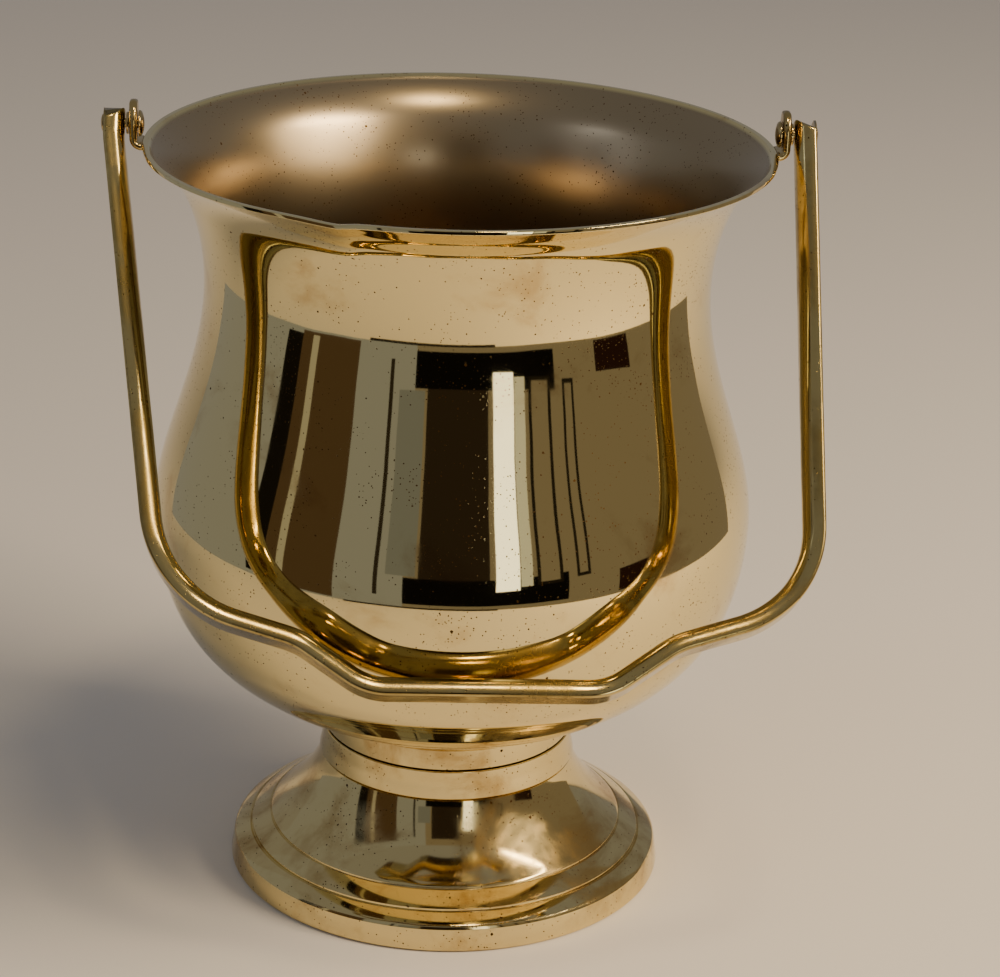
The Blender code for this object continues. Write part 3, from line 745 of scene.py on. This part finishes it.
def brass_material(name, polish, tarnish, stain, *, roughness, dull, cover, pit_share, pit_size, lines, inside=None):
    """Polished brass with patches of tarnish, dark pits and fine lines left by the polishing wheel.

    polish, tarnish and stain are hex colours. roughness is the polished metal's and dull the tarnished metal's.
    cover is the share of the surface that tarnish dulls, pit_share the share of sites that are pitted where pits
    crowd, pit_size the finest pits' spacing, lines the depth of the fine lines. inside is the colour and
    roughness of the faces that the "inside" attribute marks; that colour is painted darker for the shade inside
    the deep bowl.
    """
    material = bpy.data.materials.new(name)
    material.use_nodes = True
    tree = material.node_tree
    tree.nodes.clear()
    spot = add_node(tree, "ShaderNodeTexCoord").outputs["Object"]

    # Slow patches of tarnish, about as wide as a thumb
    patches = add_node(tree, "ShaderNodeTexNoise", {
        "Vector": spot, "Scale": 1 / (32 * MM), "Detail": 7.0, "Roughness": 0.62, "Distortion": 0.4})
    haze = add_node(tree, "ShaderNodeMapRange", {
        "Value": patches.outputs[0], "From Min": 0.62 - cover * 0.4, "From Max": 0.78 - cover * 0.2},
        interpolation_type="SMOOTHSTEP")

    # Pits: fine specks in crowds, and a few larger ones, on jittered grids warped so that none is quite round
    crowd = add_node(tree, "ShaderNodeTexNoise", {"Vector": spot, "Scale": 1 / (18 * MM), "Detail": 3.0})
    warp = add_node(tree, "ShaderNodeTexNoise", {"Vector": spot, "Scale": 1 / (0.8 * MM), "Detail": 2.0})
    shift = add_node(tree, "ShaderNodeVectorMath", {
        0: warp.outputs["Color"], 1: (0.5 * MM, 0.5 * MM, 0.5 * MM)}, operation="MULTIPLY")
    warped = add_node(tree, "ShaderNodeVectorMath", {0: spot, 1: shift.outputs[0]}, operation="ADD").outputs[0]
    pit = None
    for spacing, share, least, most in PIT_SIZES:
        crowded = add_node(tree, "ShaderNodeMapRange", {
            "Value": crowd.outputs[0], "From Min": 0.42, "From Max": 0.70, "To Min": 0.02,
            "To Max": pit_share * share})
        sites = add_node(tree, "ShaderNodeTexVoronoi", {
            "Vector": warped, "Scale": 1 / (pit_size * spacing * MM)})
        chance = add_node(tree, "ShaderNodeSeparateColor", {0: sites.outputs["Color"]})
        chosen = add_node(tree, "ShaderNodeMath", {
            0: chance.outputs[0], 1: crowded.outputs[0]}, operation="LESS_THAN")
        reach = add_node(tree, "ShaderNodeMapRange", {"Value": chance.outputs[1], "To Min": least, "To Max": most})
        near = add_node(tree, "ShaderNodeMath", {
            0: sites.outputs["Distance"], 1: reach.outputs[0]}, operation="LESS_THAN")
        found = add_node(tree, "ShaderNodeMath", {0: chosen.outputs[0], 1: near.outputs[0]}, operation="MULTIPLY")
        pit = found if pit is None else add_node(
            tree, "ShaderNodeMath", {0: pit.outputs[0], 1: found.outputs[0]}, operation="MAXIMUM")

    colour = add_node(tree, "ShaderNodeMix", {
        0: haze.outputs[0], 6: linear(polish), 7: linear(tarnish)}, data_type="RGBA").outputs[2]
    rough = add_node(tree, "ShaderNodeMapRange", {
        "Value": haze.outputs[0], "To Min": roughness, "To Max": dull}).outputs[0]
    # The marked inside faces get a darker, greyer colour, painted shade of the deep bowl, and a rougher finish
    if inside:
        inside_shade_colour, depth_rough = inside
        within = add_node(tree, "ShaderNodeAttribute", attribute_name="inside").outputs["Fac"]
        colour = add_node(tree, "ShaderNodeMix", {
            0: within, 6: colour, 7: linear(inside_shade_colour)}, data_type="RGBA").outputs[2]
        rough = add_node(tree, "ShaderNodeMix", {0: within, 2: rough, 3: depth_rough}).outputs[0]
    colour = add_node(tree, "ShaderNodeMix", {0: pit.outputs[0], 6: colour, 7: linear(stain)},
                      data_type="RGBA").outputs[2]
    rough = add_node(tree, "ShaderNodeMix", {0: pit.outputs[0], 2: rough, 3: 0.6}).outputs[0]

    # Lines of the wheel run round the axis, so they change only with height
    radial = add_node(tree, "ShaderNodeVectorMath", {0: spot, 1: (0.02, 0.02, 1.0)}, operation="MULTIPLY")
    wheel = add_node(tree, "ShaderNodeTexNoise", {
        "Vector": radial.outputs[0], "Scale": 1 / (0.7 * MM), "Detail": 3.0})
    upright = add_node(tree, "ShaderNodeVectorMath", {0: spot, 1: (1.0, 1.0, 0.05)}, operation="MULTIPLY")
    wiped = add_node(tree, "ShaderNodeTexNoise", {
        "Vector": upright.outputs[0], "Scale": 1 / (1.2 * MM), "Detail": 3.0})
    fine = add_node(tree, "ShaderNodeMath", {0: wheel.outputs[0], 1: wiped.outputs[0]}, operation="ADD")
    sunk = add_node(tree, "ShaderNodeMath", {0: pit.outputs[0], 1: -4.0}, operation="MULTIPLY")
    height = add_node(tree, "ShaderNodeMath", {0: fine.outputs[0], 1: sunk.outputs[0]}, operation="ADD")
    bump = add_node(tree, "ShaderNodeBump", {
        "Height": height.outputs[0], "Strength": 1.0, "Distance": lines * MM})

    shader = add_node(tree, "ShaderNodeBsdfPrincipled", {
        "Base Color": colour, "Roughness": rough, "Metallic": 1.0, "Normal": bump.outputs[0]})
    add_node(tree, "ShaderNodeOutputMaterial", {0: shader.outputs[0]})
    return material


def spun_polished_brass():
    """Sheet brass, spun and buffed: mirror bright, with dark pits, and a rougher inside painted darker for the shade
    in the deep bowl.
    """
    return brass_material(
        "spun_polished_brass", "#E9D79E", "#CDB27A", "#4A3418", roughness=0.035, dull=0.10, cover=0.25,
        pit_share=0.60, pit_size=0.95, lines=0.0005, inside=("#A8977A", 0.28))


def turned_polished_brass():
    """Cast brass, turned and buffed: bright, with brown stain in patches."""
    return brass_material(
        "turned_polished_brass", "#E2CE94", "#B4955C", "#3E2A12", roughness=0.06, dull=0.22, cover=0.40,
        pit_share=0.60, pit_size=0.95, lines=0.0008)


def half_round_brass():
    """Half-round strip brass, drawn and bent: dull olive from handling, with small pits."""
    return brass_material(
        "half_round_brass", "#C9B478", "#94804C", "#33240F", roughness=0.12, dull=0.28, cover=0.55,
        pit_share=0.65, pit_size=0.9, lines=0.002)


def strip_brass():
    """Strip brass, cut, bent and hammered, then hand polished."""
    return brass_material(
        "strip_brass", "#C4AC72", "#927A4A", "#2B1D0C", roughness=0.12, dull=0.28, cover=0.45,
        pit_share=0.60, pit_size=0.9, lines=0.002)


def peened_rivet_brass():
    """Rivet wire upset by hammer: bright, with dull patches."""
    return brass_material(
        "peened_rivet_brass", "#C8B07A", "#8C7446", "#2B1D0C", roughness=0.12, dull=0.30, cover=0.35,
        pit_share=0.40, pit_size=0.8, lines=0.003)


def machined_fixing_brass():
    """Bar brass as machined and never polished: even satin with light stain."""
    return brass_material(
        "machined_fixing_brass", "#BFA468", "#8F753F", "#2B1D0C", roughness=0.28, dull=0.45, cover=0.5,
        pit_share=0.15, pit_size=1.5, lines=0.004)


def plain_material(name, colour, roughness):
    """Even matt surface for the floor."""
    material = bpy.data.materials.new(name)
    material.use_nodes = True
    shader = material.node_tree.nodes["Principled BSDF"]
    shader.inputs["Base Color"].default_value = linear(colour)
    shader.inputs["Roughness"].default_value = roughness
    return material


def glowing_material(name, colour, strength):
    """Card that gives its own light, so that its colour is what the brass mirrors."""
    material = bpy.data.materials.new(name)
    material.use_nodes = True
    tree = material.node_tree
    tree.nodes.clear()
    glow = add_node(tree, "ShaderNodeEmission", {"Color": linear(colour), "Strength": strength})
    add_node(tree, "ShaderNodeOutputMaterial", {0: glow.outputs[0]})
    return material


# ---------------------------------------------------------------- studio

CARD_RING = 580.0            # how far the reflection cards stand from the bucket's axis
CARD_STEP = 2.0              # how much nearer each card stands than the one before
CARD_FACET = 5.0             # degrees that one flat of a curved card takes up
# Cards that the polished brass mirrors: bearings from the front (degrees, positive to the right), heights above the
# floor, colour and brightness. They stand for a room with pale walls, a door, a window and dark furniture.
CARDS = [
    ("wall_left", -125, -18, 0, 620, "#85878C", 1.0),
    ("wall_right", -18, 118, 0, 620, "#7A7062", 1.0),
    ("door_edge", -77, -69, 20, 520, "#15120E", 1.0),
    ("door", -69, -42, 10, 540, "#4A3B2C", 1.0),
    ("door_gap", -64, -61, 20, 520, "#9B968A", 1.0),
    ("wall_stripe", -28, -26.5, 60, 500, "#2A241C", 1.0),
    ("grey_patch", -24, -14, 150, 330, "#6E7176", 1.0),
    ("opening", -13, 11, 40, 520, "#2A221B", 1.0),
    ("furniture", -18, 38, 26, 145, "#0D0B09", 1.0),
    ("table_edge", -38, 14, 0, 9, "#1C1712", 1.0),
    ("window", 13, 21, 95, 400, "#FFFDF6", 2.6),
    ("window_pane", 21.4, 25.5, 110, 400, "#D8D6CC", 0.9),
    ("frame_outer", 27, 36, 110, 330, "#1E1A14", 1.0),
    ("frame_inner", 28.2, 34.8, 122, 318, "#7A7062", 1.0),
    ("picture_outer", 41, 46, 120, 320, "#1E1A14", 1.0),
    ("picture_inner", 42, 45, 132, 308, "#7A7062", 1.0),
    ("chair", 57, 74, 20, 110, "#241510", 1.0),
]


def reflection_cards():
    """Curved cards that only mirror-like surfaces see, each a little nearer than the one before."""
    for order, (name, start, end, low, high, colour, strength) in enumerate(CARDS):
        ring = (CARD_RING - CARD_STEP * order) * MM
        steps = max(1, round((end - start) / CARD_FACET))
        body = bmesh.new()
        columns = []
        for step in range(steps + 1):
            bearing = math.radians(start + (end - start) * step / steps)
            x, y = ring * math.sin(bearing), -ring * math.cos(bearing)
            columns.append((body.verts.new((x, y, low * MM)), body.verts.new((x, y, high * MM))))
        for before, after in zip(columns, columns[1:]):
            body.faces.new((before[0], after[0], after[1], before[1]))
        mesh = bpy.data.meshes.new("card_" + name)
        body.to_mesh(mesh)
        body.free()
        mesh.materials.append(glowing_material("card_" + name, colour, strength))
        card = bpy.data.objects.new("card_" + name, mesh)
        bpy.context.collection.objects.link(card)
        card.visible_camera = False
        card.visible_diffuse = False
        card.visible_shadow = False


def floor():
    """Plain pale floor, wide enough to fill every view."""
    body = bmesh.new()
    bmesh.ops.create_grid(body, x_segments=1, y_segments=1, size=6.0)
    mesh = bpy.data.meshes.new("floor")
    body.to_mesh(mesh)
    body.free()
    mesh.materials.append(plain_material("pale_cloth", "#D9D3CC", 0.75))
    piece = bpy.data.objects.new("floor", mesh)
    bpy.context.collection.objects.link(piece)


BUCKET_MIDDLE = Vector((0.0, 0.0, 0.13))


def soft_light(name, bearing, height, distance, size, power, colour="#FFFFFF"):
    """Area light aimed at the bucket's middle; bearing is degrees from the front, positive to the right.

    height, distance and size are in metres, power in watts.
    """
    data = bpy.data.lights.new(name, "AREA")
    data.shape = "RECTANGLE"
    data.size, data.size_y = size
    data.energy = power
    data.color = linear(colour)[:3]
    light = bpy.data.objects.new(name, data)
    angle = math.radians(bearing)
    light.location = (distance * math.sin(angle), -distance * math.cos(angle), height)
    light.rotation_euler = (BUCKET_MIDDLE - light.location).to_track_quat("-Z", "Y").to_euler()
    bpy.context.collection.objects.link(light)
    return light


def studio():
    """Warm key light from the right, a small lamp above and a cool fill from the left."""
    world = bpy.data.worlds.new("studio_air")
    world.use_nodes = True
    world.node_tree.nodes["Background"].inputs["Color"].default_value = linear("#BFBFC2")
    world.node_tree.nodes["Background"].inputs["Strength"].default_value = 0.42
    bpy.context.scene.world = world
    soft_light("window_light", 66, 0.95, 1.25, (0.7, 0.7), 34, "#FFE7C2")
    soft_light("lamp", 22, 1.7, 0.55, (0.22, 0.22), 5, "#FFE3B0")
    soft_light("left_fill", -70, 0.9, 1.6, (0.5, 0.8), 3, "#DDE8FF")


# Where the camera stands, which way it looks and how it is rolled
CAMERA_PLACE = (-33.1, -908.2, 484.1)
CAMERA_BEARING = 3.085       # degrees that the view turns to the right of straight ahead
CAMERA_FALL = 21.007         # degrees that it looks down
CAMERA_ROLL = 1.762
CAMERA_LENS = 104.54


def camera():
    """Camera above the front of the bucket, looking down at it."""
    data = bpy.data.cameras.new("camera")
    data.lens = CAMERA_LENS
    data.clip_start, data.clip_end = 0.01, 100.0
    eye = bpy.data.objects.new("camera", data)
    turn = Matrix.Rotation(math.radians(-CAMERA_BEARING), 4, "Z")
    fall = Matrix.Rotation(math.radians(90 - CAMERA_FALL), 4, "X")
    roll = Matrix.Rotation(math.radians(CAMERA_ROLL), 4, "Z")
    eye.matrix_world = Matrix.Translation(Vector(CAMERA_PLACE) * MM) @ turn @ fall @ roll
    bpy.context.collection.objects.link(eye)
    bpy.context.scene.camera = eye


# ---------------------------------------------------------------- assembly

def place(piece, body, node, slot):
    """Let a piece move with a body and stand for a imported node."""
    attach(piece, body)
    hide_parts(node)


TURNED = turned_tree()
BENT_STRIP = bent_strip_tree()
THREAD = thread_tree()

bowl_brass = spun_polished_brass()
foot_brass = turned_polished_brass()
handle_brass = half_round_brass()
ear_brass = strip_brass()
rivet_brass = peened_rivet_brass()
fixing_brass = machined_fixing_brass()

place(bowl(bowl_brass), "bucket", "bowl", "bowl_brass")
place(bowl_collar(foot_brass), "bucket", "bowl_collar", "bowl_brass")
place(neck_ring(foot_brass), "bucket", "neck_ring", "foot_brass")
place(foot(foot_brass), "bucket", "foot", "foot_brass")
place(bowl_stud(fixing_brass), "bucket", "bowl_stud", "fixing_brass")
place(clamp_washer(fixing_brass), "bucket", "clamp_washer", "fixing_brass")
place(clamp_nut(fixing_brass), "bucket", "clamp_nut", "fixing_brass")
for side, word in ((-1, "left"), (1, "right")):
    place(ear("ear_tab_" + word, side, ear_brass), "bucket", "ear_" + word, "ear_brass")
    place(rivet("rivet_pin_" + word, side, rivet_brass), "bucket", "rivet_" + word, "rivet_brass")
    place(spacer("spacer_ring_" + word, side, rivet_brass), "bucket", "spacer_" + word, "rivet_brass")
place(bail_handle(handle_brass), "bail", "bail_handle", "handle_brass")

reflection_cards()
floor()
studio()
camera()
